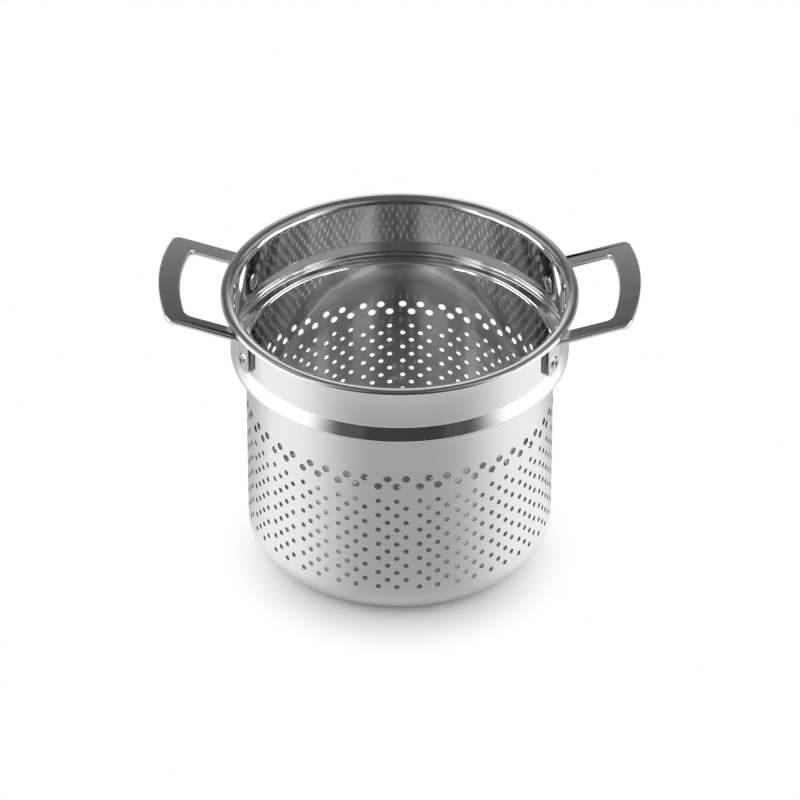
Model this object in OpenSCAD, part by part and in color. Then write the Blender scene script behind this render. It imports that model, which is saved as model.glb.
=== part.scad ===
// Strainer insert for a tall pasta pot: a deep perforated basket drawn from one sheet,
// with a collar and rolled-out rim, and two loop handles held by one rivet at each foot.
// Millimetres. The origin is the middle of the base, +Z is up, +X points at the right handle.

/* [Basket] */
// Outside diameter of the perforated body
body_d = 226; // [200:1:236]
// Height from the base to the underside of the seat ledge
ledge_z = 162; // [120:1:180]
// Outside radius of the bend between base and wall
base_bend = 19; // [8:0.5:30]
// Sheet thickness
sheet = 1; // [0.8:0.1:1.4]

/* [Collar and rim] */
// How far the step over the ledge stands out from the body
step_out = 11.2; // [10:0.1:13]
// How far the collar wall stands out from the body
collar_out = 7.9; // [7:0.1:9]
// Height of the upright edge of the step
step_h = 3.5; // [2.6:0.1:3.5]
// Height of the sloping neck between step and collar
neck_h = 11.4; // [9:0.1:11.5]
// Outside radius of the small bends at both ends of the neck
neck_bend = 3; // [2:0.5:5]
// Height of the rim's crest above the ledge
crest_h = 51.3; // [50:0.1:60]
// How far the rim's crest stands out from the body
crest_out = 14.5; // [13.5:0.1:15]
// Radius of the rim's roll, on the inside
roll_r = 5; // [3:0.1:6]
// Radius of the wide arch of the lip over the crest
lip_r = 19.5; // [12:0.5:40]
// How far the rim stands out from the body
rim_out = 17.7; // [17:0.1:20]
// Radius of the rim's turned-down edge
edge_r = 2; // [1.6:0.1:2.4]
// Length of the upright part of the turned-down edge
edge_h = 0.6; // [0.2:0.1:2]

/* [Wall holes] */
// Hole groups round the wall
hole_groups = 24; // [18:1:24]
// Angle between neighbouring columns of holes in a group
column_turn = 3.42; // [3.2:0.02:3.6]
// Angle from group to group over the wide part of the wall
group_turn = 15.29; // [14.5:0.01:15.3]
// Group steps that are made at that angle
wide_steps = 15; // [10:1:16]
// Where the first group lies
first_group = -76.4; // [-90:0.1:-60]
// Small holes under each lower large hole
small_rows = 7; // [3:1:7]
// Height from one small hole to the next in a column
row_pitch = 12.9; // [11:0.1:14]
// Diameter of the small holes
small_hole = 4; // [3:0.1:5]
// Diameter of the large holes over each column
large_hole = 5.8; // [5:0.1:6.4]
// Height of the lower large holes
large_z = 118; // [100:1:125]
// How much higher every second large hole lies
large_lift = 6.8; // [5:0.1:8]
// Drop from a lower large hole to the small one under it
small_drop = 13.1; // [10:0.1:14]

/* [Base holes] */
// Rings of holes in the base
base_rings = 5; // [1:1:5]
// Distance from ring to ring
ring_pitch = 16; // [12:0.5:17]
// Diameter of the base holes
base_hole = 5; // [3:0.1:6]

/* [Handles] */
// How far the grip's outer edge lies from the middle of the basket
grip_r = 175.5; // [165:0.5:185]
// Width of the grip
grip_w = 15.5; // [12:0.5:18]
// Length of a handle over both arms
handle_l = 110; // [104:1:118]
// Width of the arms
arm_w = 12.5; // [12:0.5:16]
// Thickness of the handle bar
bar_t = 4.5; // [4:0.5:7]
// Thickness left at the outer edge
edge_t = 2.6; // [2:0.2:4]
// How steeply the handle rises, in degrees
handle_rise = 17.5; // [12:0.5:20]
// Height of the bar's upper face above the ledge, at the collar
arm_h = 46.5; // [44:0.5:47]
// Radius of the grip's outer corners
corner_r = 8; // [5:0.5:12]
// Radius of the finger gap's corners
gap_r = 6; // [4:0.5:9]

/* [Feet and rivets] */
// Angle from the middle of the handle to each foot, in degrees
foot_turn = 24.6; // [23:0.1:26]
// Width of a foot
foot_w = 19; // [16:0.5:20]
// Thickness of a foot
foot_t = 3.5; // [3:0.5:5]
// Height of the rivets above the ledge
rivet_h = 24; // [24:0.5:27]
// Radius of the foot's lower corners
foot_round = 6; // [3:0.5:8]
// Radius of the bend where the bar turns down into the foot
bend_r = 8; // [6:0.5:9]
// How far a foot reaches under its rivet
foot_drop = 9; // [8:0.5:9]
// Diameter of the rivet shank
shank_d = 6; // [4:0.5:7]
// Clearance round the rivet shank
shank_gap = 0.05; // [0.02:0.01:0.1]
// Diameter of the rivet's domed head inside the basket
inner_head = 13; // [11:0.5:14]
// Diameter of the rivet's closed end on the foot
outer_head = 11; // [9:0.5:12]

/* [Hidden] */
$fn = 96;
body_r = body_d / 2;
step_r = body_r + step_out;
collar_r = body_r + collar_out;
collar_in = collar_r - sheet;
crest_z = ledge_z + crest_h;
ledge_bend = 1.5;
step_bend = 2.5;
rivet_z = ledge_z + rivet_h;
rivet_hole = shank_d + 2 * shank_gap;
narrow_turn = (360 - wide_steps * group_turn) / (hole_groups - wide_steps);
head_dome = 2;
end_h = 1.4;
dimple_d = 5;
steel = [0.72, 0.72, 0.73];
polish = [0.6, 0.6, 0.61];

// Points on an arc, from angle a to angle b
function arc(x, z, r, a, b, n) = [
    for (i = [0:n]) let (t = a + (b - a) * i / n) [x + r * cos(t), z + r * sin(t)]];

// The neck is a cone between two small bends, one out and one in; this is its slope
neck_w = step_out - collar_out;
neck_side = 2 * neck_bend - neck_w;
neck_turn = atan2(neck_h, neck_side)
          - acos(2 * neck_bend / sqrt(neck_h * neck_h + neck_side * neck_side));
neck_z = ledge_z + step_h;

// The lip is one wide arch that runs smoothly from the roll to the turned-down edge
rim_r = body_r + rim_out;
roll_x = collar_in + roll_r;
crest_x = body_r + crest_out;
lip_z = crest_z - lip_r;
roll_turn = asin((crest_x - roll_x) / (lip_r - roll_r));
edge_turn = asin((rim_r - edge_r - crest_x) / (lip_r - edge_r));
roll_z = lip_z + (lip_r - roll_r) * cos(roll_turn);
edge_z = lip_z + (lip_r - edge_r) * cos(edge_turn);

// One face of the sheet from the middle of the base to the lip: in = 0 outside, in = sheet inside
function face(in) = concat(
    [[0, in]],
    arc(body_r - base_bend, base_bend, base_bend - in, -90, 0, 12),
    arc(body_r + ledge_bend, ledge_z - ledge_bend, ledge_bend + in, 180, 90, 6),
    arc(step_r - step_bend, ledge_z + step_bend, step_bend - in, -90, 0, 8),
    arc(step_r - neck_bend, neck_z, neck_bend - in, 0, neck_turn, 4),
    arc(collar_r + neck_bend, neck_z + neck_h, neck_bend + in, 180 + neck_turn, 180, 4),
    arc(roll_x, roll_z, roll_r - sheet + in, 180, 90 + roll_turn, 9),
    arc(crest_x, lip_z, lip_r - sheet + in, 90 + roll_turn, 90 - edge_turn, 6),
    arc(rim_r - edge_r, edge_z, edge_r - sheet + in, 90 - edge_turn, 0, 7),
    [[rim_r - sheet + in, edge_z - edge_h]]);

function reversed(list) = [for (i = [len(list) - 1:-1:0]) list[i]];

// Where a group of hole columns lies: wide steps first, the rest shares what is left of the circle
function group_at(k) = first_group - (k <= wide_steps
    ? k * group_turn
    : wide_steps * group_turn + (k - wide_steps) * narrow_turn);

module wall_hole(turn, z, d) {
    rotate([0, 0, turn]) translate([body_r - 3 * sheet, 0, z]) rotate([0, 90, 0])
        cylinder(d = d, h = 5 * sheet, $fn = 24);
}

// A group has four columns; every second one has its large hole higher and its small ones half a row lower
module hole_group() {
    for (column = [0:3]) {
        raised = column % 2;
        turn = (column - 1.5) * column_turn;
        top_small = large_z - small_drop - raised * row_pitch / 2;
        wall_hole(turn, large_z + raised * large_lift, large_hole);
        for (row = [0:small_rows - 1 - raised])
            wall_hole(turn, top_small - row * row_pitch, small_hole);
    }
}

module base_holes() {
    for (ring = [1:base_rings])
        for (i = [0:8 * ring - 1])
            rotate([0, 0, 45 * i / ring]) translate([ring * ring_pitch, 0, -sheet])
                cylinder(d = base_hole, h = 3 * sheet, $fn = 24);
}

// Everything that belongs to a rivet is made along its axis, with the collar's middle at x = 0
module at_rivet(side, end) {
    rotate([0, 0, side * end * foot_turn + (side < 0 ? 180 : 0)]) translate([0, 0, rivet_z])
        rotate([0, 90, 0]) children();
}

module basket() {
    color(steel) difference() {
        rotate_extrude($fn = 180) polygon(concat(face(0), reversed(face(sheet))));
        for (k = [0:hole_groups - 1]) rotate([0, 0, group_at(k)]) hole_group();
        base_holes();
        for (side = [-1, 1])
            for (end = [-1, 1])
                at_rivet(side, end) translate([0, 0, collar_r - 4 * sheet])
                    cylinder(d = rivet_hole, h = 6 * sheet);
    }
}

// Plan of a loop that reaches out to an arc round the basket's middle, with round corners
module loop_plan(reach, half, round_r) {
    cy = half - round_r;
    cx = sqrt(pow(reach - round_r, 2) - cy * cy);
    intersection() {
        circle(r = reach, $fn = 180);
        polygon([[0, 0], [2 * cx, 2 * cy], [2 * cx, -2 * cy]]);
    }
    translate([0, -half]) square([cx, 2 * half]);
    for (s = [-1, 1])
        translate([cx, s * cy]) circle(r = round_r);
}

// The bar's upper face rises in a plane; children lie under that plane, x = 0 at the collar
module on_slope() {
    translate([collar_r, 0, ledge_z + arm_h]) rotate([0, -handle_rise, 0]) children();
}

// The bar is thinner along its outer edge: once across the arms and once along the grip
module bar_section() {
    half = handle_l / 2;
    bevel = bar_t - edge_t;
    reach = (grip_r - collar_r) / cos(handle_rise);
    on_slope() rotate([90, 0, 90]) translate([0, 0, -half]) linear_extrude(height = reach + 2 * half)
        polygon([[-half, 0], [half, 0], [half, -edge_t], [half - bevel, -bar_t],
                 [bevel - half, -bar_t], [-half, -edge_t]]);
}

module grip_section() {
    half = handle_l / 2;
    bevel = bar_t - edge_t;
    reach = (grip_r - collar_r) / cos(handle_rise);
    on_slope() rotate([90, 0, 0]) translate([0, 0, -handle_l]) linear_extrude(height = 2 * handle_l)
        polygon([[-half, bar_t], [reach + bar_t, bar_t], [reach + bar_t, -edge_t],
                 [reach - bevel / 2, -edge_t], [reach - 3 * bevel / 2, -bar_t], [-half, -2 * bar_t]]);
}

// The foot is a plate that hugs the collar, with a rounded lower end
module foot(end) {
    rotate([0, 0, end * foot_turn]) translate([0, 0, rivet_z]) rotate([90, 0, 90])
        translate([0, 0, collar_r - foot_t]) linear_extrude(height = 2 * foot_t) {
            for (s = [-1, 1])
                translate([s * (foot_w / 2 - foot_round), foot_round - foot_drop]) circle(r = foot_round);
            translate([foot_round - foot_w / 2, -foot_drop]) square([foot_w - 2 * foot_round, foot_round]);
            translate([-foot_w / 2, foot_round - foot_drop])
                square([foot_w, arm_h - rivet_h + foot_drop - foot_round - bar_t]);
        }
}

module handle() {
    difference() {
        union() {
            intersection() {
                translate([0, 0, ledge_z]) linear_extrude(height = crest_z) difference() {
                    loop_plan(grip_r, handle_l / 2, corner_r);
                    loop_plan(grip_r - grip_w, handle_l / 2 - arm_w, gap_r);
                }
                bar_section();
                grip_section();
            }
            for (end = [-1, 1])
                foot(end);
        }
        cylinder(r = collar_r, h = 2 * crest_z);
        bend_cut();
        for (end = [-1, 1])
            at_rivet(1, end) translate([0, 0, collar_r - foot_t])
                cylinder(d = rivet_hole, h = 3 * foot_t);
    }
}

// What the bend takes off between the collar and the bar's upper face
module bend_cut() {
    bend_x = sqrt(pow(collar_r + bend_r, 2) - pow((handle_l - arm_w) / 2, 2));
    bend_z = ledge_z + arm_h + (bend_x - collar_r) * tan(handle_rise) - bend_r / cos(handle_rise);
    rotate_extrude($fn = 180) difference() {
        translate([collar_r - sheet, bend_z])
            square([bend_r * (1 - sin(handle_rise)) + sheet, 2 * bend_r]);
        translate([collar_r + bend_r, bend_z]) circle(r = bend_r);
    }
}

module handle_right() {
    color(polish) handle();
}

module handle_left() {
    color(polish) rotate([0, 0, 180]) handle();
}

// A rivet: domed head on the inner wall, shank through wall and foot, closed end on the foot
module rivet(side, end) {
    seat = collar_r + foot_t;
    color(polish) at_rivet(side, end) difference() {
        union() {
            translate([0, 0, collar_in - head_dome / 2])
                cylinder(d = shank_d, h = head_dome / 2 + sheet + foot_t + end_h / 2);
            translate([0, 0, seat]) cylinder(d1 = outer_head, d2 = outer_head - 2, h = end_h);
            intersection() {
                dome(inner_head, head_dome);
                rotate([0, -90, 0]) translate([0, 0, -inner_head])
                    cylinder(r = collar_in, h = 2 * inner_head, $fn = 180);
            }
        }
        translate([0, 0, seat + end_h / 3]) cylinder(d = dimple_d, h = end_h);
    }
}

// A cap of a ball, whose edge lies inside the collar wall
module dome(d, h) {
    ball = (d * d / 4 + h * h) / (2 * h);
    intersection() {
        translate([0, 0, collar_in - h + ball]) sphere(r = ball);
        translate([0, 0, collar_in - 2 * h]) cylinder(d = d, h = 2 * h + sheet / 2);
    }
}

module rivet_left_front() {
    rivet(-1, -1);
}

module rivet_left_back() {
    rivet(-1, 1);
}

module rivet_right_front() {
    rivet(1, -1);
}

module rivet_right_back() {
    rivet(1, 1);
}

basket();
handle_left();
handle_right();
rivet_left_front();
rivet_left_back();
rivet_right_front();
rivet_right_back();
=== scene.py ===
import math

import bpy
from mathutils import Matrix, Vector


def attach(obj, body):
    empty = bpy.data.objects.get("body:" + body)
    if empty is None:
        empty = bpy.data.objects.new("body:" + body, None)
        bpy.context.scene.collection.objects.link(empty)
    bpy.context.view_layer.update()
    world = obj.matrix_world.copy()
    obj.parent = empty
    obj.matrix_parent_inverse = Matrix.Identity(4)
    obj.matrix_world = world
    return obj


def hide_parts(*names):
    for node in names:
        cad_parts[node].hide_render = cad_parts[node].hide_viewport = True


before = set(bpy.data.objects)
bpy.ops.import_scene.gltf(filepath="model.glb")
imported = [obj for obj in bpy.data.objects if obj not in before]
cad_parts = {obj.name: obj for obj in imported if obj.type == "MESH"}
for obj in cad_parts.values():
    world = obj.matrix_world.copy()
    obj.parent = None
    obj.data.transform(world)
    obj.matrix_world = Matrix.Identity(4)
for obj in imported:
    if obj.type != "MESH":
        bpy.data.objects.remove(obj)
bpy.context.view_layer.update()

# Sizes of the real object.
BODY_R = 0.113          # outside of the perforated wall
BASE_BEND = 0.019       # height of the bend between base and wall
LEDGE_Z = 0.162         # underside of the seat ledge
EDGE_EASE = 0.0011      # rounding of the handles' edges

# The camera of the photograph.
VIEW_ABOVE = 35.217     # degrees above the table
VIEW_TURN = 1.1         # degrees that the object is turned in the picture
VIEW_BACK = 4.2573      # distance from the camera to the middle of the picture
VIEW_SIDE = 0.0002      # the picture's middle, to the right of the basket's axis
VIEW_HEIGHT = 0.1153    # the picture's middle, above the table
SENSOR = 36             # width of the sensor, in millimetres
LENS = 259.33           # focal length, in millimetres

# The room's light on the floor and the object, where plain white is 1.
AMBIENT = 0.7

# The table and its shade.
TABLE_SIZE = 16         # length of a side
TABLE_GREY = 0.9        # its colour in the shade
SHADE_FORWARD = 0.03    # the middle of the shade, in front of the basket's axis
SHADE_IN = 0.076        # the table is all shade this near that middle
SHADE_OUT = 0.132       # and plain white from here on

# How bright steel mirrors the table. Bearings are taken from a point in front of the axis.
BEARING_POINT = 0.53 * BODY_R
FRONT_TURN = 6          # degrees that the middle of the front is turned to the right
FRONT_FULL = 15         # the front reaches this many degrees to each side
FRONT_NONE = 85         # and has faded out here
FRONT_NEAR = 0.48       # brightness in front of the basket
FRONT_FAR = 0.66        # and further out in front
FRONT_STEP = 0.397      # distance at which it changes
STEP_SOFT = 0.003       # half the width of that change
SIDE_NEAR = 1.16        # brightness beside the basket
SIDE_FAR = 1.6          # and further out beside it
SIDE_FROM = 0.45        # distances between which it changes
SIDE_TO = 0.6
BACK_SHARE = 0.5        # what is left of the side's brightness behind the basket
BACK_FULL = -0.75       # cosines of the bearings between which it is lost
BACK_NONE = -0.25

# The cards that stand round the object and over it.
CARD_TOP = 1.7          # height of the upper ends, and of the card on top
FRONT_CARDS = 1.15      # distance from the axis to the cards in front
BACK_CARDS = 1.4        # and to those behind and beside the object
OVER_CARDS = 1.38       # and to those that hide a part of these
FADE_DROP = 0.55        # how the top of the bright part behind the object bends down aside
FADE_NARROW = 7         # how much sharper that top gets there
FADE_ASIDE = 0.52       # how bright the part still is there
FADE_WIDEST = 0.12      # square of the way out past which it bends no further
FADE_FROM = 0.012       # squares of the way out between which it gets darker
FADE_TO = 0.05

# The basket's steel: how pale and how rough it is. The mirror-like part is the least rough.
INSIDE_PALE = 0.79
OUTSIDE_PALE = 0.72
BASE_PALE = 0.68
# painted shade: the dark grey that the edges of the wall's holes are painted
HOLE_SHADE_PALE = 0.2      # on the edges of the wall's holes
COOL = 0.005            # more blue than red and green in the sheet's colours
INSIDE_ROUGH = 0.068
OUTSIDE_ROUGHER = 0.06  # how much rougher the outside of collar and rim is
SATIN_ROUGH = 0.3       # on the outside of the body, and on the base
MIRROR_LINES = 0.08     # share of the spun lines' depth that the mirror-like part keeps

# The zones that they lie in.
TURNED_OUT = (0.3, 0.7)     # cosines from the outward direction between which outside begins
TURNED_ALONG = (0.5, 0.8)   # and between which the edge of a hole ends
BASE_ZONE = (0.004, BASE_BEND - 0.001)                # heights between which the base ends
WALL_START = (BASE_BEND, BASE_BEND + 0.003)           # between which the wall's holes begin
WALL_END = (LEDGE_Z - 0.02, LEDGE_Z - 0.01)           # and end
SATIN_END = (LEDGE_Z + 0.002, LEDGE_Z - 0.002)        # between which the brushing begins, downwards


# Making and selecting.
def only(piece):
    """Deselects everything but this piece, and makes it the active one."""
    bpy.ops.object.select_all(action="DESELECT")
    piece.select_set(True)
    bpy.context.view_layer.objects.active = piece


def pick_faces(piece, wanted):
    """Opens a piece in edit mode with only the wanted faces selected."""
    only(piece)
    bpy.ops.object.mode_set(mode="EDIT")
    bpy.ops.mesh.select_mode(type="FACE")
    bpy.ops.mesh.select_all(action="DESELECT")
    bpy.ops.object.mode_set(mode="OBJECT")
    for face in piece.data.polygons:
        face.select = wanted(face)
    bpy.ops.object.mode_set(mode="EDIT")


# Shader nodes. A tree is the node tree of a material, a world or a group.
def put(tree, socket, value):
    """Gives an input a number, a vector or a colour, or links another node's output to it."""
    if isinstance(value, bpy.types.NodeSocket):
        tree.links.new(value, socket)
    else:
        socket.default_value = value


def math_node(tree, operation, *values):
    """One Math node's result."""
    node = tree.nodes.new("ShaderNodeMath")
    node.operation = operation
    for socket, value in zip(node.inputs, values):
        put(tree, socket, value)
    return node.outputs[0]


def vector_node(tree, operation, *values):
    """One Vector Math node's result: a number from a length or a product, or else a vector."""
    node = tree.nodes.new("ShaderNodeVectorMath")
    node.operation = operation
    for socket, value in zip(node.inputs, values):
        put(tree, socket, value)
    gives_number = operation in ("LENGTH", "DISTANCE", "DOT_PRODUCT")
    return node.outputs["Value" if gives_number else "Vector"]


def ramp(tree, value, low, high, to_low, to_high, kind="SMOOTHSTEP"):
    """A value from low to high, turned into one from to_low to to_high that stays between them."""
    node = tree.nodes.new("ShaderNodeMapRange")
    node.interpolation_type = kind
    for key, given in (("Value", value), ("From Min", low), ("From Max", high),
                       ("To Min", to_low), ("To Max", to_high)):
        put(tree, node.inputs[key], given)
    return node.outputs["Result"]


def coordinates(tree):
    """The outputs of a Texture Coordinate node."""
    return tree.nodes.new("ShaderNodeTexCoord").outputs


def parts_of(tree, vector):
    """The numbers of a vector, as outputs X, Y and Z."""
    node = tree.nodes.new("ShaderNodeSeparateXYZ")
    put(tree, node.inputs[0], vector)
    return node.outputs


def noise(tree, vector, scale, detail, roughness=0.5):
    """A noise that lies about 0.5."""
    node = tree.nodes.new("ShaderNodeTexNoise")
    for key, given in (("Vector", vector), ("Scale", scale), ("Detail", detail),
                       ("Roughness", roughness)):
        put(tree, node.inputs[key], given)
    return node.outputs["Fac"]


def mixed(tree, share, first, second):
    """A colour that goes from the first to the second as the share goes from 0 to 1."""
    node = tree.nodes.new("ShaderNodeMix")
    node.data_type = "RGBA"
    put(tree, node.inputs[0], share)
    # the colours are the seventh and eighth inputs, and their mix is the third output
    put(tree, node.inputs[6], first)
    put(tree, node.inputs[7], second)
    return node.outputs[2]


def bump(tree, height, strength, distance):
    """A normal that is bent by a height."""
    node = tree.nodes.new("ShaderNodeBump")
    for key, given in (("Height", height), ("Strength", strength), ("Distance", distance)):
        put(tree, node.inputs[key], given)
    return node.outputs[0]


def grey(level, blue=0):
    """A grey with a little more blue in it."""
    return (level, level, level + blue, 1)


def seen_directly(tree):
    """1 on camera, glossy and transmission rays, 0 on the others."""
    path = tree.nodes.new("ShaderNodeLightPath").outputs
    either = math_node(tree, "MAXIMUM", path["Is Camera Ray"], path["Is Glossy Ray"])
    return math_node(tree, "MAXIMUM", either, path["Is Transmission Ray"])


# Camera and lamps.
def in_picture(x, y, z):
    """A point given square to the picture, turned into the CAD frame."""
    turn = math.radians(VIEW_TURN)
    c, s = math.cos(turn), math.sin(turn)
    return Vector((x * c - y * s, x * s + y * c, z))


def aimed(place, target):
    """The turn that points an object's -Z from a place to a target."""
    return (Vector(target) - Vector(place)).to_track_quat("-Z", "Y").to_euler()


def photo_camera():
    """The photograph's viewpoint: far off, with a long lens, looking down into the basket."""
    above = math.radians(VIEW_ABOVE)
    lift = Vector((0, 0, VIEW_HEIGHT))
    eye = in_picture(VIEW_SIDE, -VIEW_BACK * math.cos(above), VIEW_BACK * math.sin(above)) + lift
    aim = in_picture(VIEW_SIDE, 0, 0) + lift
    data = bpy.data.cameras.new("photo_camera")
    data.sensor_width = SENSOR
    data.lens = LENS
    data.clip_end = 100
    camera = bpy.data.objects.new("photo_camera", data)
    bpy.context.collection.objects.link(camera)
    camera.location = eye
    camera.rotation_euler = aimed(eye, aim)
    bpy.context.scene.camera = camera


def white_studio():
    """A world that shows plain white, and lights the floor and the object at a lower level."""
    world = bpy.data.worlds.new("studio")
    bpy.context.scene.world = world
    world.use_nodes = True
    tree = world.node_tree
    background = tree.nodes["Background"].inputs
    background["Color"].default_value = grey(1)
    put(tree, background["Strength"], ramp(tree, seen_directly(tree), 0, 1, AMBIENT, 1, "LINEAR"))


def soft_box(name, place, target, wide, high, brightness):
    """A rectangular soft light of the given surface brightness."""
    data = bpy.data.lights.new(name, "AREA")
    data.shape = "RECTANGLE"
    data.size = wide
    data.size_y = high
    data.energy = brightness * math.pi * wide * high
    light = bpy.data.objects.new(name, data)
    bpy.context.collection.objects.link(light)
    light.location = place
    light.rotation_euler = aimed(place, target)


# The table.
def mirrored_table(tree, place):
    """How bright steel mirrors the table at a place: less in front of the basket than beside it."""
    away = vector_node(tree, "LENGTH", place)
    out = vector_node(tree, "NORMALIZE", vector_node(tree, "ADD", place, (0, BEARING_POINT, 0)))
    turn = math.radians(FRONT_TURN)
    front = vector_node(tree, "DOT_PRODUCT", out, (math.sin(turn), -math.cos(turn), 0))
    in_front = ramp(tree, front, math.cos(math.radians(FRONT_NONE)),
                    math.cos(math.radians(FRONT_FULL)), 0, 1)
    beside = ramp(tree, away, SIDE_FROM, SIDE_TO, SIDE_NEAR, SIDE_FAR)
    not_behind = ramp(tree, front, BACK_FULL, BACK_NONE, BACK_SHARE, 1)
    side_level = math_node(tree, "MULTIPLY", beside, not_behind)
    front_level = ramp(tree, away, FRONT_STEP - STEP_SOFT, FRONT_STEP + STEP_SOFT,
                       FRONT_NEAR, FRONT_FAR)
    gap = math_node(tree, "SUBTRACT", front_level, side_level)
    return math_node(tree, "MULTIPLY_ADD", gap, in_front, side_level)


def pale_table():
    """A plain pale table top. It keeps the shadow near the object and is plain white further out."""
    bpy.ops.object.select_all(action="DESELECT")
    bpy.ops.mesh.primitive_plane_add(size=TABLE_SIZE, location=(0, 0, 0))
    table = bpy.context.object
    table.name = "table_top"
    material = bpy.data.materials.new("pale_table")
    material.use_nodes = True
    tree = material.node_tree
    surface = tree.nodes["Principled BSDF"]
    surface.inputs["Base Color"].default_value = grey(TABLE_GREY)
    surface.inputs["Roughness"].default_value = 0.9
    surface.inputs["Specular IOR Level"].default_value = 0
    place = coordinates(tree)["Object"]
    from_shade = vector_node(tree, "DISTANCE", place, (0, -SHADE_FORWARD, 0))
    in_the_open = ramp(tree, from_shade, SHADE_IN, SHADE_OUT, 0, 1)
    # plain white for the camera, and the mirrored level for reflections
    past_white = math_node(tree, "SUBTRACT", mirrored_table(tree, place), 1)
    glossy = tree.nodes.new("ShaderNodeLightPath").outputs["Is Glossy Ray"]
    white = tree.nodes.new("ShaderNodeEmission")
    put(tree, white.inputs["Strength"], math_node(tree, "MULTIPLY_ADD", past_white, glossy, 1))
    mix = tree.nodes.new("ShaderNodeMixShader")
    put(tree, mix.inputs[0], math_node(tree, "MULTIPLY", in_the_open, seen_directly(tree)))
    put(tree, mix.inputs[1], surface.outputs[0])
    put(tree, mix.inputs[2], white.outputs[0])
    put(tree, tree.nodes["Material Output"].inputs["Surface"], mix.outputs[0])
    table.data.materials.append(material)


# The cards.
def card_finish(card, level):
    """Makes a piece a plain card that only reflections show, to draw bright and dark bands in steel.

    The level is a number, or a function that makes one from the card's node tree and the card.
    """
    material = bpy.data.materials.new(card.name)
    material.use_nodes = True
    tree = material.node_tree
    tree.nodes.remove(tree.nodes["Principled BSDF"])
    glow = tree.nodes.new("ShaderNodeEmission")
    glow.inputs["Color"].default_value = grey(1)
    put(tree, glow.inputs["Strength"], level(tree, card) if callable(level) else level)
    put(tree, tree.nodes["Material Output"].inputs["Surface"], glow.outputs[0])
    card.data.materials.append(material)
    card.visible_camera = False
    card.visible_diffuse = False
    card.visible_shadow = False


def height_fade(low, high, bright, dark):
    """A level from bright at the height low to dark at the height high.

    To the sides it starts lower by FADE_DROP, and is shorter by FADE_NARROW, times the square
    of the way out, and it is only as bright as FADE_ASIDE.
    """
    def level(tree, card):
        place = parts_of(tree, coordinates(tree)["Object"])
        square = math_node(tree, "MULTIPLY", place["X"], place["X"])
        aside = math_node(tree, "MINIMUM", square, FADE_WIDEST)
        over_low = math_node(tree, "SUBTRACT", place["Z"], low - card.location.z)
        bent = math_node(tree, "MULTIPLY_ADD", aside, FADE_DROP, over_low)
        narrow = math_node(tree, "MULTIPLY_ADD", aside, FADE_NARROW, 1)
        height = math_node(tree, "MULTIPLY", bent, narrow)
        share = ramp(tree, height, 0, high - low, 1, 0)
        brightest = ramp(tree, aside, FADE_FROM, FADE_TO, bright, FADE_ASIDE)
        over_dark = math_node(tree, "SUBTRACT", brightest, dark)
        return math_node(tree, "MULTIPLY_ADD", over_dark, share, dark)
    return level


def bearing_fade(start, end, dark, bright):
    """A level from dark at the bearing start to bright at the bearing end, to both sides alike."""
    def level(tree, card):
        place = parts_of(tree, coordinates(tree)["Object"])
        forward = math_node(tree, "MULTIPLY", place["Y"], -1)
        bearing = math_node(tree, "ABSOLUTE", math_node(tree, "ARCTAN2", place["X"], forward))
        return ramp(tree, bearing, math.radians(start), math.radians(end), dark, bright)
    return level


def side_fade(start, end, dark, bright):
    """A level from dark at the distance start to the side to bright at the distance end."""
    def level(tree, card):
        place = parts_of(tree, coordinates(tree)["Object"])
        aside = math_node(tree, "ABSOLUTE", place["X"])
        return ramp(tree, aside, start, end, dark, bright)
    return level


def top_card(name, radius, level):
    """A round card over the object."""
    bpy.ops.object.select_all(action="DESELECT")
    bpy.ops.mesh.primitive_circle_add(vertices=96, radius=radius, fill_type="NGON",
                                      location=(0, 0, CARD_TOP))
    bpy.context.object.name = name
    card_finish(bpy.context.object, level)


def bent_card(name, radius, start, end, level, low=0, high=CARD_TOP):
    """An upright card bent round the object, from the bearing start to the bearing end.

    Bearings are in degrees from the camera's side, and grow towards the right handle.
    """
    bpy.ops.object.select_all(action="DESELECT")
    bpy.ops.mesh.primitive_cylinder_add(vertices=180, radius=radius, depth=high - low,
                                        end_fill_type="NOTHING",
                                        location=(0, 0, (high + low) / 2))
    card = bpy.context.object
    card.name = name
    middle, half = math.radians((start + end) / 2), math.radians((end - start) / 2)

    def left_out(face):
        bearing = math.atan2(face.center.x, -face.center.y)
        return abs((bearing - middle + math.pi) % (2 * math.pi) - math.pi) > half

    pick_faces(card, left_out)
    bpy.ops.mesh.delete(type="FACE")
    bpy.ops.object.mode_set(mode="OBJECT")
    card_finish(card, level)


# Shared finishes.
def new_group(name, inputs, outputs):
    """An empty shader node group: the group, what it is given, and what it puts out."""
    group = bpy.data.node_groups.new(name, "ShaderNodeTree")
    for key in inputs:
        group.interface.new_socket(key, in_out="INPUT", socket_type="NodeSocketFloat")
    for key in outputs:
        group.interface.new_socket(key, in_out="OUTPUT", socket_type="NodeSocketFloat")
    given = group.nodes.new("NodeGroupInput").outputs
    return group, given, group.nodes.new("NodeGroupOutput").inputs


def placed_group(tree, group, values):
    """The outputs of a group that is placed in a material, with values for its inputs."""
    node = tree.nodes.new("ShaderNodeGroup")
    node.node_tree = group
    for key, value in values.items():
        node.inputs[key].default_value = value
    return node.outputs


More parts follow.
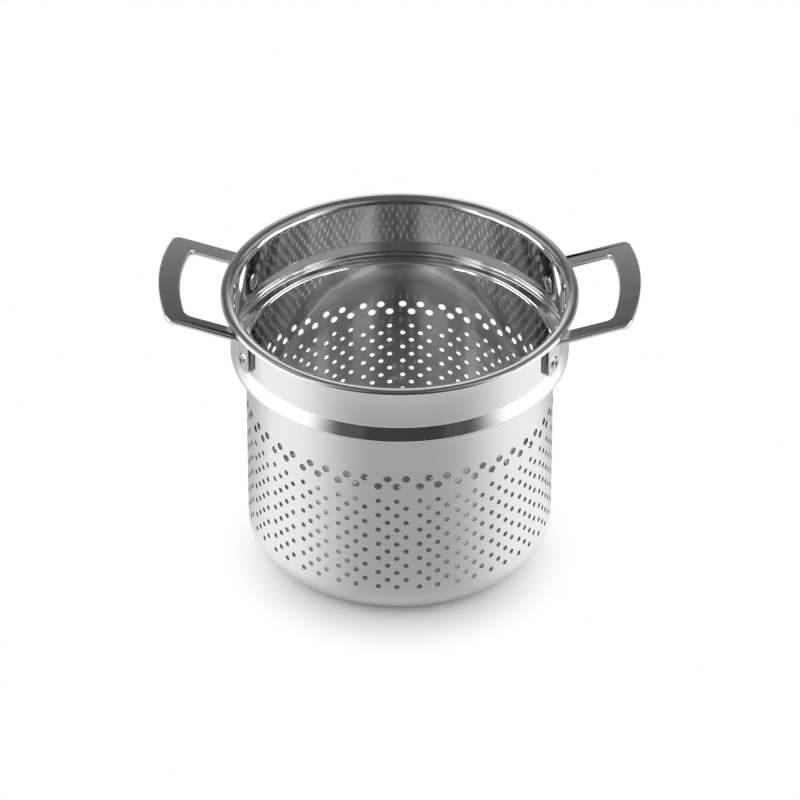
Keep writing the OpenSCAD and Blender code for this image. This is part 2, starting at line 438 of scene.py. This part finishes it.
def spun_grain_group():
    """Fine lines that run round the basket's axis, as polishing on a lathe leaves them."""
    group, given, out = new_group("spun_grain", ("Lines per metre", "Round"), ("Lines", "Cloud"))
    place = coordinates(group)["Object"]
    radial = vector_node(group, "MULTIPLY", place, (1, 1, 0))
    unit = parts_of(group, vector_node(group, "NORMALIZE", radial))
    along = math_node(group, "ADD", parts_of(group, place)["Z"],
                      vector_node(group, "LENGTH", radial))
    around = group.nodes.new("ShaderNodeCombineXYZ")
    for side in ("X", "Y"):
        put(group, around.inputs[side], math_node(group, "MULTIPLY", unit[side], given["Round"]))
    put(group, around.inputs["Z"], math_node(group, "MULTIPLY", along, given["Lines per metre"]))
    put(group, out["Lines"], noise(group, around.outputs[0], scale=1, detail=5, roughness=0.65))
    put(group, out["Cloud"], noise(group, place, scale=22, detail=3))
    return group


def polishing_group():
    """Fine marks that a polishing wheel drew out along Y, and a faint haze."""
    group, given, out = new_group("polishing", ("Marks per metre", "Haze per metre"),
                                  ("Marks", "Haze"))
    place = coordinates(group)["Object"]
    drawn_out = group.nodes.new("ShaderNodeMapping")
    drawn_out.inputs["Scale"].default_value = (1, 0.12, 1)
    put(group, drawn_out.inputs["Vector"], place)
    put(group, out["Marks"], noise(group, drawn_out.outputs[0], given["Marks per metre"], detail=4))
    put(group, out["Haze"], noise(group, place, given["Haze per metre"], detail=3))
    return group


def new_steel(name):
    """A plain metal: the material, its node tree and the inputs of its shader."""
    material = bpy.data.materials.new(name)
    material.use_nodes = True
    steel = material.node_tree.nodes["Principled BSDF"].inputs
    steel["Metallic"].default_value = 1
    return material, material.node_tree, steel


def uneven(tree, roughness, *noises):
    """A roughness that (noise, share) pairs make uneven, and leave about as rough as it was."""
    for value, share in noises:
        roughness = math_node(tree, "MULTIPLY_ADD", value, share, roughness)
    return math_node(tree, "SUBTRACT", roughness, sum(share for value, share in noises) / 2)


# The basket's steel.
def hole_shade_share(tree, facing, height):
    """1 in the holes of the wall, where the sheet faces along the wall and gets a painted shade, and
    0 elsewhere.
    """
    across = math_node(tree, "ABSOLUTE", facing)
    along_wall = ramp(tree, across, *TURNED_ALONG, 1, 0)
    over_base = ramp(tree, height, *WALL_START, 0, 1)
    under_ledge = ramp(tree, height, *WALL_END, 1, 0)
    wall = math_node(tree, "MULTIPLY", over_base, under_ledge)
    return math_node(tree, "MULTIPLY", along_wall, wall)


def basket_steel():
    """Stainless sheet: satin outside the body, dull on the base, brighter polish elsewhere."""
    material, tree, steel = new_steel("basket_steel")
    grain = placed_group(tree, spun_grain_group(), {"Lines per metre": 1400, "Round": 9})
    place = coordinates(tree)
    height = parts_of(tree, place["Object"])["Z"]
    radial = vector_node(tree, "MULTIPLY", place["Object"], (1, 1, 0))
    outward = vector_node(tree, "NORMALIZE", radial)
    facing = vector_node(tree, "DOT_PRODUCT", outward, place["Normal"])
    outside = ramp(tree, facing, *TURNED_OUT, 0, 1, "LINEAR")
    under_ledge = ramp(tree, height, *SATIN_END, 0, 1, "LINEAR")
    satin = math_node(tree, "MULTIPLY", outside, under_ledge)
    dull = ramp(tree, height, *BASE_ZONE, 1, 0)

    # the inside was never brushed, and is a little brighter
    tone = mixed(tree, outside, grey(INSIDE_PALE, COOL), grey(OUTSIDE_PALE, COOL))
    # painted shade: the edges of the wall's holes are painted dark, for the shade inside the holes
    tone = mixed(tree, hole_shade_share(tree, facing, height), tone, grey(HOLE_SHADE_PALE))
    # the base was never polished, and is a little darker than the wall
    tone = mixed(tree, dull, tone, grey(BASE_PALE, COOL))
    put(tree, steel["Base Color"], tone)

    polished = math_node(tree, "MULTIPLY_ADD", outside, OUTSIDE_ROUGHER, INSIDE_ROUGH)
    not_polished = math_node(tree, "MAXIMUM", satin, dull)
    roughness = ramp(tree, not_polished, 0, 1, polished, SATIN_ROUGH, "LINEAR")
    put(tree, steel["Roughness"],
        uneven(tree, roughness, (grain["Lines"], 0.06), (grain["Cloud"], 0.03)))

    # the mirror-like part keeps only a trace of the lines, so that what it mirrors stays in shape
    depth = ramp(tree, satin, 0, 1, MIRROR_LINES, 1, "LINEAR")
    lines = math_node(tree, "MULTIPLY", grain["Lines"], depth)
    put(tree, steel["Normal"], bump(tree, lines, strength=0.12, distance=0.0001))
    return material


# The steel of handles and rivets.
def painted_foot_shade(tree):
    """The share of painted shade: 1 on the narrow sides of a handle's feet, less towards their lower
    end, 0 elsewhere.
    """
    place = coordinates(tree)
    height = parts_of(tree, place["Object"])["Z"]
    # the Y of the normal is 0.91 or -0.91 on these sides, and 1 or -1 on the sides of the arms
    across = math_node(tree, "ABSOLUTE", parts_of(tree, place["Normal"])["Y"])
    turned = ramp(tree, across, 0.84, 0.89, 0, 1)
    not_arm = ramp(tree, across, 0.93, 0.96, 1, 0)
    # the feet reach from 0.177 up to the bend, which starts at about 0.2
    under_bend = ramp(tree, height, 0.2, 0.215, 1, 0)
    fainter_low = ramp(tree, height, 0.176, 0.196, 0.45, 1)
    side = math_node(tree, "MULTIPLY", turned, not_arm)
    strength = math_node(tree, "MULTIPLY", under_bend, fainter_low)
    return math_node(tree, "MULTIPLY", strength, side)


def polished_steel(name, polishing, level, roughness, feet=False):
    """Cast and polished stainless steel with a faint haze and fine polishing marks.

    With feet, the narrow sides of a handle's feet are painted darker, a painted shade that is
    strongest just under the bend.
    """
    material, tree, steel = new_steel(name)
    tone = grey(level, 0.01 * level)
    if feet:
        # painted shade on the narrow sides of the feet, where they stand against the collar
        tone = mixed(tree, painted_foot_shade(tree), tone, grey(0.1 * level))
    put(tree, steel["Base Color"], tone)
    finish = placed_group(tree, polishing, {"Marks per metre": 1500, "Haze per metre": 90})
    put(tree, steel["Roughness"],
        uneven(tree, roughness, (finish["Haze"], 0.1), (finish["Marks"], 0.06)))
    put(tree, steel["Normal"], bump(tree, finish["Marks"], strength=0.06, distance=0.00005))
    return material


# The pieces.
def dress(name, material):
    """Gives a CAD node its finish."""
    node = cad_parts[name]
    node.data.materials.clear()
    node.data.materials.append(material)


def eased_copy(name, material):
    """A copy of a CAD node with its sharp edges rounded over, which stands for the node."""
    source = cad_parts[name]
    piece = source.copy()
    piece.data = source.data.copy()
    piece.parent = None
    piece.name = name + "_eased"
    bpy.context.collection.objects.link(piece)
    piece.data.materials.clear()
    piece.data.materials.append(material)
    only(piece)
    if piece.data.has_custom_normals:
        bpy.ops.mesh.customdata_custom_splitnormals_clear()
    bpy.ops.object.mode_set(mode="EDIT")
    bpy.ops.mesh.select_all(action="SELECT")
    bpy.ops.mesh.remove_doubles(threshold=0.000002)
    bpy.ops.mesh.dissolve_limited(angle_limit=math.radians(0.5))
    bpy.ops.object.mode_set(mode="OBJECT")
    bevel = piece.modifiers.new("eased_edges", "BEVEL")
    bevel.width = EDGE_EASE
    bevel.segments = 4
    bevel.limit_method = "ANGLE"
    bevel.angle_limit = math.radians(24)
    # a clamp would let the shortest edge of the mesh set the width everywhere
    bevel.use_clamp_overlap = False
    bpy.ops.object.modifier_apply(modifier=bevel.name)
    bpy.ops.object.shade_smooth_by_angle(angle=math.radians(32))
    # the flat faces keep their own normals, and only the rounding between them is shaded round
    weighted = piece.modifiers.new("flat_faces_stay_flat", "WEIGHTED_NORMAL")
    weighted.weight = 100
    weighted.keep_sharp = True
    bpy.ops.object.modifier_apply(modifier=weighted.name)
    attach(piece, "root")
    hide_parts(name)


# The scene.
bpy.context.scene.view_settings.view_transform = "Standard"
photo_camera()
white_studio()
pale_table()
for side, x in (("left", -1.5), ("right", 1.5)):
    soft_box(side + "_soft_box", (x, 0, 0.5), target=(0, 0, 0.1), wide=1.4, high=1, brightness=2.2)

bent_card("front_card", FRONT_CARDS, -20, 28, level=0.055)
bent_card("front_left_card", FRONT_CARDS, -60, -20,
          level=bearing_fade(34, 60, dark=0.11, bright=1.5))
bent_card("front_right_card", FRONT_CARDS, 28, 74,
          level=bearing_fade(42, 74, dark=0.1, bright=1.5))
bent_card("back_card", BACK_CARDS, 110, 250, low=0.4,
          level=height_fade(0.93, 1.25, bright=1, dark=0.12))
bent_card("low_back_card", OVER_CARDS, 110, 250, high=0.8, level=0.3)
bent_card("back_left_card", OVER_CARDS, 188, 250, low=1.32, level=0.42)
bent_card("back_right_card", OVER_CARDS, 110, 172, low=1.32, level=0.42)
bent_card("left_card", BACK_CARDS, 250, 300, low=1.02, level=0.3)
bent_card("right_card", BACK_CARDS, 60, 110, low=1.02, level=0.3)
top_card("top_card", radius=1.6, level=side_fade(0.15, 0.5, dark=0.11, bright=0.42))

dress("basket", basket_steel())
polishing = polishing_group()
# the grip's steel carries painted shade on the narrow sides of the feet
grip_steel = polished_steel("grip_steel", polishing, level=0.62, roughness=0.1, feet=True)
rivet_steel = polished_steel("rivet_steel", polishing, level=0.6, roughness=0.2)
for side in ("left", "right"):
    eased_copy("handle_" + side, grip_steel)
    for end in ("front", "back"):
        dress("rivet_%s_%s" % (side, end), rivet_steel)
